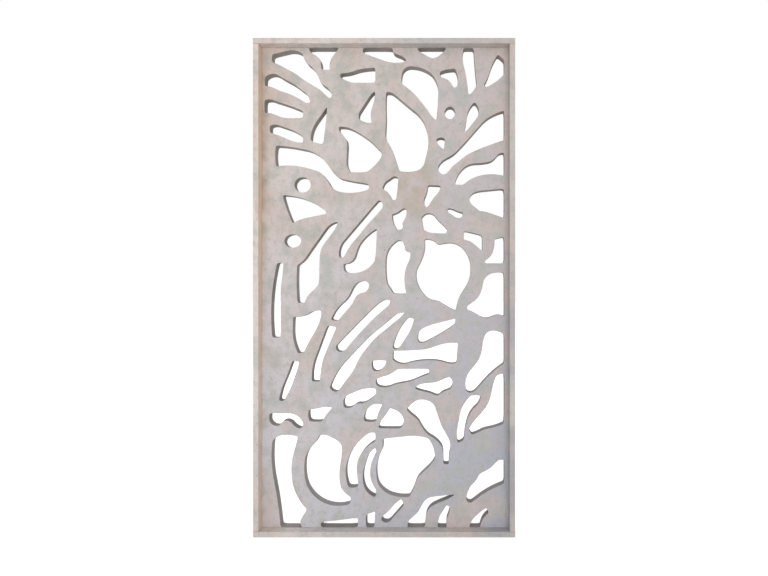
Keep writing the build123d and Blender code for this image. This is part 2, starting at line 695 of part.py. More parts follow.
def strip_solid(x, z, wide, high, steel):
    """One border strip: front arrises rounded, pin holes, and room for its bar."""
    along = Axis.X if wide > high else Axis.Z
    with BuildPart() as strip:
        with Locations((x, (Y_FRONT + Y_STRIP_BACK) / 2, z)):
            Box(wide, STRIP_DEEP, high, align=(Align.CENTER, Align.CENTER, Align.MIN))
        front_face = strip.faces().sort_by(Axis.Y)[0]
        fillet(front_face.edges().filter_by(along), STRIP_ROUND)
        add(pin_set(ALL_PIN_SPOTS), mode=Mode.SUBTRACT)
        add(steel, mode=Mode.SUBTRACT)
    return strip.part


def bed_solid(x, z, wide, high):
    """The mortar bed under one strip, with the pins' holes through it."""
    with BuildPart() as bed:
        with Locations((x, (Y_STRIP_BACK + Y_LEAF) / 2, z)):
            Box(wide, BED, high, align=(Align.CENTER, Align.CENTER, Align.MIN))
        add(pin_set(ALL_PIN_SPOTS), mode=Mode.SUBTRACT)
    return bed.part


JAMB_X = (WIDTH - STRIP_WIDE) / 2
JAMB_FOOT = STRIP_WIDE + BED

# Border strips.
with BuildPart() as head_strip:
    add(strip_solid(0, HEIGHT - STRIP_WIDE, WIDTH, STRIP_WIDE, head_strip_steel))
with BuildPart() as sill_strip:
    add(strip_solid(0, 0, WIDTH, STRIP_WIDE, sill_strip_steel))
with BuildPart() as left_jamb_strip:
    add(strip_solid(-JAMB_X, JAMB_FOOT, STRIP_WIDE, JAMB_HIGH, left_strip_steel))
with BuildPart() as right_jamb_strip:
    add(strip_solid(JAMB_X, JAMB_FOOT, STRIP_WIDE, JAMB_HIGH, right_strip_steel))

# Mortar beds behind the strips.
with BuildPart() as head_bed:
    add(bed_solid(0, HEIGHT - STRIP_WIDE, WIDTH, STRIP_WIDE))
with BuildPart() as sill_bed:
    add(bed_solid(0, 0, WIDTH, STRIP_WIDE))
with BuildPart() as left_jamb_bed:
    add(bed_solid(-JAMB_X, STRIP_WIDE, STRIP_WIDE, HEIGHT - 2 * STRIP_WIDE))
with BuildPart() as right_jamb_bed:
    add(bed_solid(JAMB_X, STRIP_WIDE, STRIP_WIDE, HEIGHT - 2 * STRIP_WIDE))

# Mortar between the ends of the jamb strips and the head and sill strips.
with BuildPart() as corner_joints:
    with Locations(*[(side * JAMB_X, (Y_FRONT + Y_STRIP_BACK) / 2, z) for side in (-1, 1)
                     for z in (STRIP_WIDE + BED / 2, HEIGHT - STRIP_WIDE - BED / 2)]):
        Box(STRIP_WIDE, STRIP_DEEP, BED)

head_pins.part.label = "head_pins"
sill_pins.part.label = "sill_pins"
left_jamb_pins.part.label = "left_jamb_pins"
right_jamb_pins.part.label = "right_jamb_pins"
corner_sockets.part.label = "corner_sockets"
left_edge_bar.part.label = "left_edge_bar"
right_edge_bar.part.label = "right_edge_bar"
foot_bar.part.label = "foot_bar"
head_bar.part.label = "head_bar"
web_bar_left_upper.part.label = "web_bar_left_upper"
web_bar_left_middle.part.label = "web_bar_left_middle"
web_bar_middle.part.label = "web_bar_middle"
web_bar_right_cross.part.label = "web_bar_right_cross"
web_bar_foot_cross.part.label = "web_bar_foot_cross"
web_bar_right_lower.part.label = "web_bar_right_lower"
head_strip_bar.part.label = "head_strip_bar"
sill_strip_bar.part.label = "sill_strip_bar"
left_jamb_bar.part.label = "left_jamb_bar"
right_jamb_bar.part.label = "right_jamb_bar"
jali_leaf.part.label = "jali_leaf"
head_strip.part.label = "head_strip"
sill_strip.part.label = "sill_strip"
left_jamb_strip.part.label = "left_jamb_strip"
right_jamb_strip.part.label = "right_jamb_strip"
head_bed.part.label = "head_bed"
sill_bed.part.label = "sill_bed"
left_jamb_bed.part.label = "left_jamb_bed"
right_jamb_bed.part.label = "right_jamb_bed"
corner_joints.part.label = "corner_joints"

export_step(head_pins.part, "parts/head_pins.step")
export_step(sill_pins.part, "parts/sill_pins.step")
export_step(left_jamb_pins.part, "parts/left_jamb_pins.step")
export_step(right_jamb_pins.part, "parts/right_jamb_pins.step")
export_step(corner_sockets.part, "parts/corner_sockets.step")
export_step(left_edge_bar.part, "parts/left_edge_bar.step")
export_step(right_edge_bar.part, "parts/right_edge_bar.step")
export_step(foot_bar.part, "parts/foot_bar.step")
export_step(head_bar.part, "parts/head_bar.step")
export_step(web_bar_left_upper.part, "parts/web_bar_left_upper.step")
export_step(web_bar_left_middle.part, "parts/web_bar_left_middle.step")
export_step(web_bar_middle.part, "parts/web_bar_middle.step")
export_step(web_bar_right_cross.part, "parts/web_bar_right_cross.step")
export_step(web_bar_foot_cross.part, "parts/web_bar_foot_cross.step")
export_step(web_bar_right_lower.part, "parts/web_bar_right_lower.step")
export_step(head_strip_bar.part, "parts/head_strip_bar.step")
export_step(sill_strip_bar.part, "parts/sill_strip_bar.step")
export_step(left_jamb_bar.part, "parts/left_jamb_bar.step")
export_step(right_jamb_bar.part, "parts/right_jamb_bar.step")
export_step(jali_leaf.part, "parts/jali_leaf.step")
export_step(head_strip.part, "parts/head_strip.step")
export_step(sill_strip.part, "parts/sill_strip.step")
export_step(left_jamb_strip.part, "parts/left_jamb_strip.step")
export_step(right_jamb_strip.part, "parts/right_jamb_strip.step")
export_step(head_bed.part, "parts/head_bed.step")
export_step(sill_bed.part, "parts/sill_bed.step")
export_step(left_jamb_bed.part, "parts/left_jamb_bed.step")
export_step(right_jamb_bed.part, "parts/right_jamb_bed.step")
export_step(corner_joints.part, "parts/corner_joints.step")
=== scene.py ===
# %% [markdown]
# # A cast concrete jali screen
#
# The real object is a garden or wall screen: one thin concrete leaf, cast flat in a mould
# with seventy-three openings, and a narrow border of the same concrete planted round its
# front. The solids already give every size. This scene gives the pieces their worn edges,
# their concrete, and the light to see them by.

# %% Load the fixed frame
import json
import math

import bpy
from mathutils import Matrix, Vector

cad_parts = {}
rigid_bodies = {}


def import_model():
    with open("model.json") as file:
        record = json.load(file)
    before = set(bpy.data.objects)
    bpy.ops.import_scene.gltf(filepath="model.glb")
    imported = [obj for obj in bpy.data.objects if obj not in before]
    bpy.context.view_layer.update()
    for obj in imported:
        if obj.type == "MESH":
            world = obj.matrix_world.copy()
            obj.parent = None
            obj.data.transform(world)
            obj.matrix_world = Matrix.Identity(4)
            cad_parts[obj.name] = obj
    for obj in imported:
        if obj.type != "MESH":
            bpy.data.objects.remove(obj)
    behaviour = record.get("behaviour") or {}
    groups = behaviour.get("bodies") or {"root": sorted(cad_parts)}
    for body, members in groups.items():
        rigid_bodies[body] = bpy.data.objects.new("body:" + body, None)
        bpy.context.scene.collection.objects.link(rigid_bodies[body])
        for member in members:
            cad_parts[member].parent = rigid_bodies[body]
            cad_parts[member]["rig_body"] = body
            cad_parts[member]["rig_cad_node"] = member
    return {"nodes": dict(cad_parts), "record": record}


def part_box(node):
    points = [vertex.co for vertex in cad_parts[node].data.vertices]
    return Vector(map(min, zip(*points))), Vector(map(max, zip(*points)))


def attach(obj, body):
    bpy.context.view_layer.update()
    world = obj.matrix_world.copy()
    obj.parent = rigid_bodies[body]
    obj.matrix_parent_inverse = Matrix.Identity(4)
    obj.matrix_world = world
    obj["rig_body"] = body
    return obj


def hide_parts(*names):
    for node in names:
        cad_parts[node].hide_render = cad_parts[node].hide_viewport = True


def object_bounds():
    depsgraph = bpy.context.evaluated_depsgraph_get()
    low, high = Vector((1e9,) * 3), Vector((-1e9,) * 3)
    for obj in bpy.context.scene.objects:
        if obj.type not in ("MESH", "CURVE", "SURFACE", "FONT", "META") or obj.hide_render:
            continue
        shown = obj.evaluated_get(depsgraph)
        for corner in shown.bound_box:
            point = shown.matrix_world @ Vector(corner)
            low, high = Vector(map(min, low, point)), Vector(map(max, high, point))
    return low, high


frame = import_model()
cad_low, cad_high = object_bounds()
MM = 0.001
print("box of the solids, metres:", [round(v, 4) for v in (*cad_low, *cad_high)])

# %% [markdown]
# ## Sizes taken from the solids
#
# Everything that follows is placed from the frame and never from typed positions, so
# that it still fits when the screen is made wider or taller. The leaf's box gives the
# outline, and two strips tell where the border ends and the sunk field starts.

# %% Read the sizes of the screen
leaf_low, leaf_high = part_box("jali_leaf")
WIDTH = leaf_high.x - leaf_low.x
HEIGHT = leaf_high.z - leaf_low.z
FIELD_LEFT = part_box("left_jamb_strip")[1].x
FIELD_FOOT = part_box("sill_strip")[1].z
print("screen", round(WIDTH, 3), "by", round(HEIGHT, 3), "metres; its field starts",
      round(WIDTH / 2 + FIELD_LEFT, 3), "in and", round(FIELD_FOOT, 3), "up")

# %% [markdown]
# ## Colours
#
# Colours are written as they look on a screen, in hexadecimal. Blender mixes light in
# linear values, so one function turns the written colour into the linear one.

# %% Turn a written colour into a linear one
def colour(written):
    """Linear red, green, blue and alpha of a colour such as "C5BCB6"."""
    shares = [int(written[i:i + 2], 16) / 255 for i in (0, 2, 4)]
    linear = [s / 12.92 if s <= 0.04045 else ((s + 0.055) / 1.055) ** 2.4 for s in shares]
    return (*linear, 1.0)


# %% [markdown]
# ## One helper for every material
#
# A procedural material is a net of nodes. Wiring them by hand takes many lines, so this
# small function adds any node, sets what it is told, and links or fills its sockets. A
# socket may be named or numbered. On Map Range, 0 is the value, 1 and 2 the range that it
# comes from, and 3 and 4 the range that it goes to. On Mix, 0 is the share, and for
# colours 6 and 7 are the two that are mixed.

# %% Add a node to a material
PATCHY = {1: 0.40, 2: 0.62, 3: 0.0, 4: 1.0}     # a noise: some places bare, some full
SMOOTH = {"interpolation_type": "SMOOTHSTEP"}
COLOURS = {"data_type": "RGBA"}
TIMES = {"operation": "MULTIPLY"}


def put(tree, kind, sockets=None, **settings):
    """Adds a node. A socket that is given a node takes that node's first live output."""
    made = tree.nodes.new(kind)
    for name, value in settings.items():
        setattr(made, name, value)
    for name, value in (sockets or {}).items():
        if isinstance(value, bpy.types.Node):
            value = next(output for output in value.outputs if output.enabled)
        if isinstance(value, bpy.types.NodeSocket):
            tree.links.new(value, made.inputs[name])
        else:
            made.inputs[name].default_value = value
    return made


def blank_material(name):
    """A new material without nodes, and its empty net."""
    material = bpy.data.materials.new(name)
    material.use_nodes = True
    material.node_tree.nodes.clear()
    return material, material.node_tree


# %% [markdown]
# ## Cast concrete
#
# Concrete that has stood outside is never one grey. Its cement skin is cloudy over a hand's
# breadth, warm where the sand shows and cool where it stays damp. Rain draws long pale and
# dark streaks down it. Close to, it has sand grains and small blow holes left by air. An
# image could hold all that, but noise in the object's own coordinates has no seams and
# keeps its real scale on every piece.
#
# The colour is laid in the order in which it came about: the cement itself, then warm and
# cool clouds from the mix and the damp, then blotches of the mould, then rain streaks,
# then the sand that shows through the skin. Each layer is a mix whose share is a noise.

# %% Clouds, patches and blotches
CLOUD = 190 * MM           # breadth of the soft colour clouds
PATCH = 70 * MM            # breadth of the smaller patches inside them
BLOTCH = 24 * MM           # breadth of the smallest marks of the mould


def clouded(tree, place, tinted, warm, cool):
    """A colour with its warm clouds, cool patches and dark blotches.

    Every layer is a noise of some breadth, detail and roughness. It takes its tint where
    the noise rises from low to high, at most with its share.
    """
    for breadth, detail, rough, low, high, share, tint in (
            (CLOUD, 3.0, 0.5, 0.42, 0.64, 0.60, warm),
            (PATCH, 4.0, 0.5, 0.44, 0.64, 0.60, cool),
            (BLOTCH, 4.0, 0.6, 0.45, 0.70, 0.30, colour("A59C98"))):
        cloud = put(tree, "ShaderNodeTexNoise",
                    {"Vector": place, "Scale": 1 / breadth, "Detail": detail,
                     "Roughness": rough})
        amount = put(tree, "ShaderNodeMapRange",
                     {0: cloud, 1: low, 2: high, 3: 0.0, 4: share}, **SMOOTH)
        tinted = put(tree, "ShaderNodeMix", {0: amount, 6: tinted, 7: tint}, **COLOURS)
    return tinted


# %% [markdown]
# Rain streaks are a noise drawn out downwards by a Mapping node. They stay away from some
# places, as real ones do, because a second noise says where the water ran.

# %% Rain streaks
STREAK_WIDE = 34 * MM      # rain streaks are narrow across
STREAK_LONG = 380 * MM     # and long down the face


def rained_on(tree, place, tinted, streaks):
    """Dark and pale streaks down the faces, as strong as streaks says."""
    drawn = put(tree, "ShaderNodeMapping",
                {"Vector": place,
                 "Scale": (1 / STREAK_WIDE, 1 / STREAK_WIDE, 1 / STREAK_LONG)})
    rain = put(tree, "ShaderNodeTexNoise", {"Vector": drawn, "Scale": 1.0, "Detail": 2.0})
    wet = put(tree, "ShaderNodeTexNoise",
              {"Vector": place, "Scale": 1 / CLOUD, "Detail": 1.0})
    wet = put(tree, "ShaderNodeMapRange", {0: wet, **PATCHY}, **SMOOTH)
    for low, high, first, last, tint in ((0.52, 0.74, 0.0, streaks, "8A8583"),
                                         (0.26, 0.46, streaks, 0.0, "E0DAD6")):
        streak = put(tree, "ShaderNodeMapRange",
                     {0: rain, 1: low, 2: high, 3: first, 4: last}, **SMOOTH)
        amount = put(tree, "ShaderNodeMath", {0: wet, 1: streak}, **TIMES)
        tinted = put(tree, "ShaderNodeMix",
                     {0: amount, 6: tinted, 7: colour(tint)}, **COLOURS)
    return tinted


# %% [markdown]
# Sand shows through the skin as dark and pale grains. Its noise is kept, because it also
# gives the surface its dullness and its relief.

# %% Sand grains, and the weathering as a whole
SAND = 6 * MM              # real sand is 1 to 2 mm; drawn coarser, so that it shows
DARK_GRAINS, PALE_GRAINS = 0.30, 0.22      # how strongly they show


def sanded(tree, place, tinted):
    """Dark and pale grains on the colour, and the noise that they came from."""
    sand = put(tree, "ShaderNodeTexNoise",
               {"Vector": place, "Scale": 1 / SAND, "Detail": 6.0, "Roughness": 0.7})
    for low, high, first, last, tint in ((0.50, 0.75, 0.0, DARK_GRAINS, "958E8A"),
                                         (0.28, 0.48, PALE_GRAINS, 0.0, "DCD6D1")):
        grain = put(tree, "ShaderNodeMapRange",
                    {0: sand, 1: low, 2: high, 3: first, 4: last}, **SMOOTH)
        tinted = put(tree, "ShaderNodeMix",
                     {0: grain, 6: tinted, 7: colour(tint)}, **COLOURS)
    return tinted, sand


def weathered(tree, place, base, warm, cool, streaks):
    """The base colour with all these layers on it, and the noise of the sand."""
    tinted = clouded(tree, place, base, colour(warm), colour(cool))
    tinted = rained_on(tree, place, tinted, streaks)
    return sanded(tree, place, tinted)


# %% [markdown]
# Wet concrete traps air against the mould. The bubbles leave blow holes of 1 to 5 mm, set
# at random. A Voronoi pattern gives one point to each cell of space, and its random colour
# picks which cells have a hole and how wide it is. A little noise on the coordinates makes
# their rims ragged.

# %% Blow holes
HOLE_CELL = 22 * MM        # one blow hole at most in each cell this wide
HOLE_WIDEST = 0.115        # radius of the widest hole, as a share of the cell
HOLE_NARROWEST = -0.03     # below 0, so that the smallest holes start from nothing
NO_HOLE = 0.62             # cells whose random number is lower have none
RAGGED = 5 * MM            # the rims of the holes are ragged at this size
RIM_OUT, RIM_IN = -0.01, 0.07  # from nothing to full depth, as shares of the cell


def blow_holes(tree, place):
    """1 inside the blow holes and 0 elsewhere."""
    drift = put(tree, "ShaderNodeTexNoise",
                {"Vector": place, "Scale": 1 / RAGGED, "Detail": 1.0})
    shifted = put(tree, "ShaderNodeVectorMath",
                  {0: drift.outputs["Color"], 1: (RAGGED, RAGGED, RAGGED), 2: place},
                  operation="MULTIPLY_ADD")
    cells = put(tree, "ShaderNodeTexVoronoi", {"Vector": shifted, "Scale": 1 / HOLE_CELL})
    chance = put(tree, "ShaderNodeSeparateColor", {"Color": cells.outputs["Color"]})
    radius = put(tree, "ShaderNodeMapRange",
                 {0: chance.outputs["Red"], 1: NO_HOLE, 2: 1.0, 3: HOLE_NARROWEST,
                  4: HOLE_WIDEST}, **SMOOTH)
    inside = put(tree, "ShaderNodeMath", {0: radius, 1: cells.outputs["Distance"]},
                 operation="SUBTRACT")
    return put(tree, "ShaderNodeMapRange",
               {0: inside, 1: RIM_OUT, 2: RIM_IN, 3: 0.0, 4: 1.0}, **SMOOTH)


# %% [markdown]
# The bump adds what the fingers would feel: slow waves of the mould, the sand, and the
# holes. Their heights are in millimetres, so the bump's distance is one millimetre.
# Concrete has an index of refraction near 1.5 and is dull all over, the more where sand
# stands out.

# %% Finish a concrete surface
WAVE = 140 * MM            # the mould face is never quite flat
HOLE_SHADE = 0.75           # how dark the painted shade in a blow hole is
DULL, DULLER = 0.78, 0.95  # shader roughness between the grains and on them


def concrete_surface(tree, place, tinted, sand, sand_rise, wave_rise):
    """Cuts blow holes into a colour as painted shade, and makes the shader with its relief
    and dullness.
    """
    hole = blow_holes(tree, place)
    # painted shade inside the blow holes
    shade = put(tree, "ShaderNodeMath", {0: hole, 1: HOLE_SHADE}, **TIMES)
    tinted = put(tree, "ShaderNodeMix",
                 {0: shade, 6: tinted, 7: colour("5E5855")}, **COLOURS)
    wave = put(tree, "ShaderNodeTexNoise",
               {"Vector": place, "Scale": 1 / WAVE, "Detail": 2.0})
    waves = put(tree, "ShaderNodeMath", {0: wave, 1: wave_rise}, **TIMES)
    grains = put(tree, "ShaderNodeMath", {0: sand, 1: sand_rise}, **TIMES)
    rise = put(tree, "ShaderNodeMath", {0: waves, 1: grains}, operation="ADD")
    rise = put(tree, "ShaderNodeMath", {0: rise, 1: hole}, operation="SUBTRACT")
    relief = put(tree, "ShaderNodeBump", {"Height": rise, "Distance": MM, "Strength": 1.0})
    dullness = put(tree, "ShaderNodeMapRange",
                   {0: sand, 1: 0.3, 2: 0.7, 3: DULL, 4: DULLER}, **SMOOTH)
    surface = put(tree, "ShaderNodeBsdfPrincipled",
                  {"Base Color": tinted, "Roughness": dullness, "Normal": relief,
                   "IOR": 1.5})
    put(tree, "ShaderNodeOutputMaterial", {"Surface": surface})


# %% [markdown]
# ## Which way a face looks
#
# The front of a casting lay on the mould, its back was struck off with a trowel, and its
# cut walls touched oiled mould sides. The normal tells them apart: its Y is near 0 on the
# walls and +1 on the back.

# %% Tell faces by their normals
def facing(tree, coordinates, axis, low, high):
    """Rises from 0 to 1 as the normal's share along an axis rises from low to high."""
    normal = put(tree, "ShaderNodeSeparateXYZ", {"Vector": coordinates.outputs["Normal"]})
    return put(tree, "ShaderNodeMapRange",
               {0: normal.outputs[axis], 1: low, 2: high, 3: 0.0, 4: 1.0}, **SMOOTH)


def on_walls(tree, coordinates):
    """1 on faces that look neither forwards nor backwards."""
    normal = put(tree, "ShaderNodeSeparateXYZ", {"Vector": coordinates.outputs["Normal"]})
    level = put(tree, "ShaderNodeMath", {0: normal.outputs["Y"]}, operation="ABSOLUTE")
    return put(tree, "ShaderNodeMapRange",
               {0: level, 1: 0.25, 2: 0.75, 3: 1.0, 4: 0.0}, **SMOOTH)


# %% [markdown]
# The back is open concrete. A steel trowel leaves broad arcs in it, about a forearm's
# length in radius. Rings round a far point, bent and broken by noise, make such arcs.

# %% Trowel arcs
ARC_SPACING = 95 * MM      # from one pass of the trowel to the next
ARC_MIDDLE = (-0.70, 0.55) # the trowel swings round a point beside the panel
ARC_MARK = 0.22            # how strongly the arcs show
RINGS_APART = 0.314        # metres between a wave texture's rings at a scale of 1


def trowelled(tree, place, tinted, back):
    """Faint arcs of the trowel, on faces that look backwards."""
    moved = put(tree, "ShaderNodeMapping",
                {"Vector": place, "Location": (-ARC_MIDDLE[0], 0.0, -ARC_MIDDLE[1]),
                 "Scale": (1.0, 0.0, 1.0)})
    rings = put(tree, "ShaderNodeTexWave",
                {"Vector": moved, "Scale": RINGS_APART / ARC_SPACING,
                 "Distortion": 5.0, "Detail": 2.0, "Detail Scale": 0.5},
                wave_type="RINGS", rings_direction="SPHERICAL")
    rings = put(tree, "ShaderNodeMapRange",
                {0: rings.outputs["Fac"], 1: 0.45, 2: 1.0, 3: 0.0, 4: ARC_MARK}, **SMOOTH)
    broken = put(tree, "ShaderNodeTexNoise",
                 {"Vector": place, "Scale": 1 / CLOUD, "Detail": 2.0})
    broken = put(tree, "ShaderNodeMapRange", {0: broken, **PATCHY}, **SMOOTH)
    mark = put(tree, "ShaderNodeMath", {0: rings, 1: broken}, **TIMES)
    mark = put(tree, "ShaderNodeMath", {0: mark, 1: back}, **TIMES)
    return put(tree, "ShaderNodeMix",
               {0: mark, 6: tinted, 7: colour("96908C")}, **COLOURS)


# %% [markdown]
# ## The leaf's concrete
#
# The leaf is warm and pale near its head, cool and darker towards its foot, and it darkens
# towards its right side: the darkening is painted shade, where the light falls off across
# the screen. Two mixes across, one for the head and one for the foot, are mixed once more
# down the height.

# %% Cement colour of the leaf, with painted shade
def leaf_cement_and_shade(tree, at):
    """Warm and pale at the upper left, cool and with painted shade darker at the lower
    right.
    """
    down = put(tree, "ShaderNodeMapRange",
               {0: at.outputs["Z"], 1: 0.0, 2: HEIGHT, 3: 1.0, 4: 0.0}, **SMOOTH)
    across = put(tree, "ShaderNodeMapRange",
                 {0: at.outputs["X"], 1: -WIDTH / 2, 2: WIDTH / 2, 3: 0.0, 4: 1.0},
                 **SMOOTH)
    # the darkening towards the lower right is painted shade
    head = put(tree, "ShaderNodeMix",
               {0: across, 6: colour("DBD1CC"), 7: colour("C8BFBF")}, **COLOURS)
    foot = put(tree, "ShaderNodeMix",
               {0: across, 6: colour("D0CED4"), 7: colour("B1B3BE")}, **COLOURS)
    return put(tree, "ShaderNodeMix", {0: down, 6: head, 7: foot}, **COLOURS)


# %% [markdown]
# A tan stain, a bloom, marks the leaf's middle, and a tan band runs down beside the left
# border, strongest next to it. Both have soft, ragged outlines, so each is a soft spot
# times a noise.

# %% Stain and tan band of the leaf
BLOOM, TAN_BAND = 0.55, 0.80   # how strongly the bloom and the band show where they are strongest
BLOOM_AT = (0.10 * WIDTH, 0.0, 0.70 * HEIGHT)      # across, through and up
BLOOM_REACH = (0.15 * WIDTH, 0.2, 0.09 * HEIGHT)
TAN_BAND_AT = (0.0, 0.0, 0.75 * HEIGHT)
TAN_BAND_REACH = (WIDTH, 1.0, 0.42 * HEIGHT)
TAN_BAND_WIDE = 40 * MM        # the tan band, from the border inwards


def soft_spot(tree, place, centre, reach):
    """1 at its centre and 0 beyond its reach, which is given across, through and up."""
    moved = put(tree, "ShaderNodeMapping",
                {"Vector": place,
                 "Location": tuple(-c / r for c, r in zip(centre, reach)),
                 "Scale": tuple(1 / r for r in reach)})
    length = put(tree, "ShaderNodeVectorMath", {0: moved}, operation="LENGTH")
    return put(tree, "ShaderNodeMapRange",
               {0: length.outputs["Value"], 1: 0.15, 2: 1.0, 3: 1.0, 4: 0.0}, **SMOOTH)


def stained(tree, place, at, tinted):
    """The tan bloom in the middle and the tan band beside the left border."""
    ragged = put(tree, "ShaderNodeTexNoise",
                 {"Vector": place, "Scale": 1 / PATCH, "Detail": 4.0})
    ragged = put(tree, "ShaderNodeMapRange",
                 {0: ragged, 1: 0.30, 2: 0.62, 3: 0.25, 4: 1.0}, **SMOOTH)
    bloom = soft_spot(tree, place, BLOOM_AT, BLOOM_REACH)
    bloom = put(tree, "ShaderNodeMath", {0: bloom, 1: BLOOM}, **TIMES)
    bloom = put(tree, "ShaderNodeMath", {0: bloom, 1: ragged}, **TIMES)
    tinted = put(tree, "ShaderNodeMix",
                 {0: bloom, 6: tinted, 7: colour("B9A48D")}, **COLOURS)
    beside = put(tree, "ShaderNodeMapRange",
                 {0: at.outputs["X"], 1: FIELD_LEFT, 2: FIELD_LEFT + TAN_BAND_WIDE,
                  3: TAN_BAND, 4: 0.0}, **SMOOTH)
    band = soft_spot(tree, place, TAN_BAND_AT, TAN_BAND_REACH)
    tan_band = put(tree, "ShaderNodeMath", {0: beside, 1: band}, **TIMES)
    tan_band = put(tree, "ShaderNodeMath", {0: tan_band, 1: ragged}, **TIMES)
    return put(tree, "ShaderNodeMix",
               {0: tan_band, 6: tinted, 7: colour("A98A68")}, **COLOURS)


# %% [markdown]
# The leaf's material puts these layers on each other. Its walls are painted darker than its
# face, as painted shade inside the openings.

# %% Material of the leaf
WALL_SHADE = 0.60           # how strongly the painted shade shows on the walls


def leaf_concrete():
    material, tree = blank_material("cast concrete, mould face, weathered")
    coordinates = put(tree, "ShaderNodeTexCoord")
    place = coordinates.outputs["Object"]
    at = put(tree, "ShaderNodeSeparateXYZ", {"Vector": place})
    base = leaf_cement_and_shade(tree, at)
    tinted, sand = weathered(tree, place, base, "CFBDB4", "B4B8B2", streaks=0.10)
    tinted = stained(tree, place, at, tinted)
    # painted shade: the walls of the openings are darkened in colour
    wall_shade = put(tree, "ShaderNodeMath", {0: on_walls(tree, coordinates), 1: WALL_SHADE},
               **TIMES)
    tinted = put(tree, "ShaderNodeMix",
                 {0: wall_shade, 6: tinted, 7: colour("665E59")}, **COLOURS)
    back = facing(tree, coordinates, "Y", 0.3, 0.8)
    tinted = trowelled(tree, place, tinted, back)
    concrete_surface(tree, place, tinted, sand, sand_rise=0.22, wave_rise=1.4)
    return material


leaf_material = leaf_concrete()
print("made", leaf_material.name)

# %% [markdown]
# ## The border's concrete
#
# The border strips are cast apart in a tighter mix and rubbed smooth, so they are a shade
# paler than the leaf. The inner side of the left strip is painted darker and tan, as
# painted shade, most of all in its upper part, which is the warm line seen down the left of
# the photograph.

# %% Material of the border
FOOT_SHADE, SIDE_SHADE = 0.20, 0.80  # how much painted shade darkens the foot and the right side
TAN_FOOT, TAN_HEAD = 0.40, 0.68  # how strongly the painted tan shade shows on the left inner side at its foot and head
TAN_START, TAN_END = 0.2 * HEIGHT, 0.6 * HEIGHT    # between these the tan grows
STRIP_PAST, FIELD_SURE = -0.45 * WIDTH, -0.40 * WIDTH  # the left strip lies before both


def border_cement_and_shade(tree, at):
    """Pale at the upper left, and greyer with painted shade towards the foot and most at
    the right side.
    """
    down = put(tree, "ShaderNodeMapRange",
               # painted shade: darker towards the foot and the right side, where the light
               # falls off
               {0: at.outputs["Z"], 1: 0.0, 2: HEIGHT, 3: FOOT_SHADE, 4: 0.0}, **SMOOTH)
    across = put(tree, "ShaderNodeMapRange",
                 {0: at.outputs["X"], 1: -WIDTH / 2, 2: WIDTH / 2, 3: 0.0, 4: SIDE_SHADE},
                 **SMOOTH)
    shade_share = put(tree, "ShaderNodeMath", {0: down, 1: across}, operation="ADD")
    return put(tree, "ShaderNodeMix",
               {0: shade_share, 6: colour("EADFDA"), 7: colour("A7A6AA")}, **COLOURS)


def tan_shaded_side(tree, coordinates, at, tinted):
    """Painted tan shade on the inner side of the left strip, the side that looks to the
    right.
    """
    left = put(tree, "ShaderNodeMapRange",
               {0: at.outputs["X"], 1: STRIP_PAST, 2: FIELD_SURE, 3: 1.0, 4: 0.0},
               **SMOOTH)
    tan_height = put(tree, "ShaderNodeMapRange",
                 {0: at.outputs["Z"], 1: TAN_START, 2: TAN_END, 3: TAN_FOOT,
                  4: TAN_HEAD}, **SMOOTH)
    inner = put(tree, "ShaderNodeMath",
                {0: facing(tree, coordinates, "X", 0.4, 0.8), 1: left}, **TIMES)
    inner = put(tree, "ShaderNodeMath", {0: inner, 1: tan_height}, **TIMES)
    # painted shade, tan, on the side of the strip that looks to the right
    return put(tree, "ShaderNodeMix",
               {0: inner, 6: tinted, 7: colour("DDC0A2")}, **COLOURS)


def border_concrete():
    material, tree = blank_material("cast concrete, rubbed, weathered")
    coordinates = put(tree, "ShaderNodeTexCoord")
    place = coordinates.outputs["Object"]
    at = put(tree, "ShaderNodeSeparateXYZ", {"Vector": place})
    base = border_cement_and_shade(tree, at)
    tinted, sand = weathered(tree, place, base, "D6C6BC", "C0C3BF", streaks=0.08)
    tinted = tan_shaded_side(tree, coordinates, at, tinted)
    concrete_surface(tree, place, tinted, sand, sand_rise=0.12, wave_rise=0.6)
    return material


border_material = border_concrete()
print("made", border_material.name)

# %% [markdown]
# ## Bedding mortar
#
# The border is stuck on with a thin bed of cement and sand. It dries browner and rougher
# than the castings and shows only as a hair line at the foot of the step.

# %% Material of the mortar
def bedding_mortar():
    material, tree = blank_material("bedding mortar, struck flush")
    coordinates = put(tree, "ShaderNodeTexCoord")
    place = coordinates.outputs["Object"]
    tinted, sand = weathered(tree, place, colour("B5A99C"), "BBA992", "A7A39D",
                             streaks=0.06)
    concrete_surface(tree, place, tinted, sand, sand_rise=0.5, wave_rise=0.4)
    return material


mortar_material = bedding_mortar()
print("made", mortar_material.name)

# %% [markdown]
# ## Steel
#
# The sockets are zinc-plated, so they are bright, bluish and a little cloudy. The bars and
# pins inside the concrete are plain mild steel with grey mill scale and a bloom of rust. A
# metal takes its brightness from its base colour and its look from its roughness.

# %% Materials of the steel
SPANGLE = 4 * MM           # breadth of the clouds in the zinc
SCALE_PATCH = 12 * MM      # breadth of the patches of mill scale


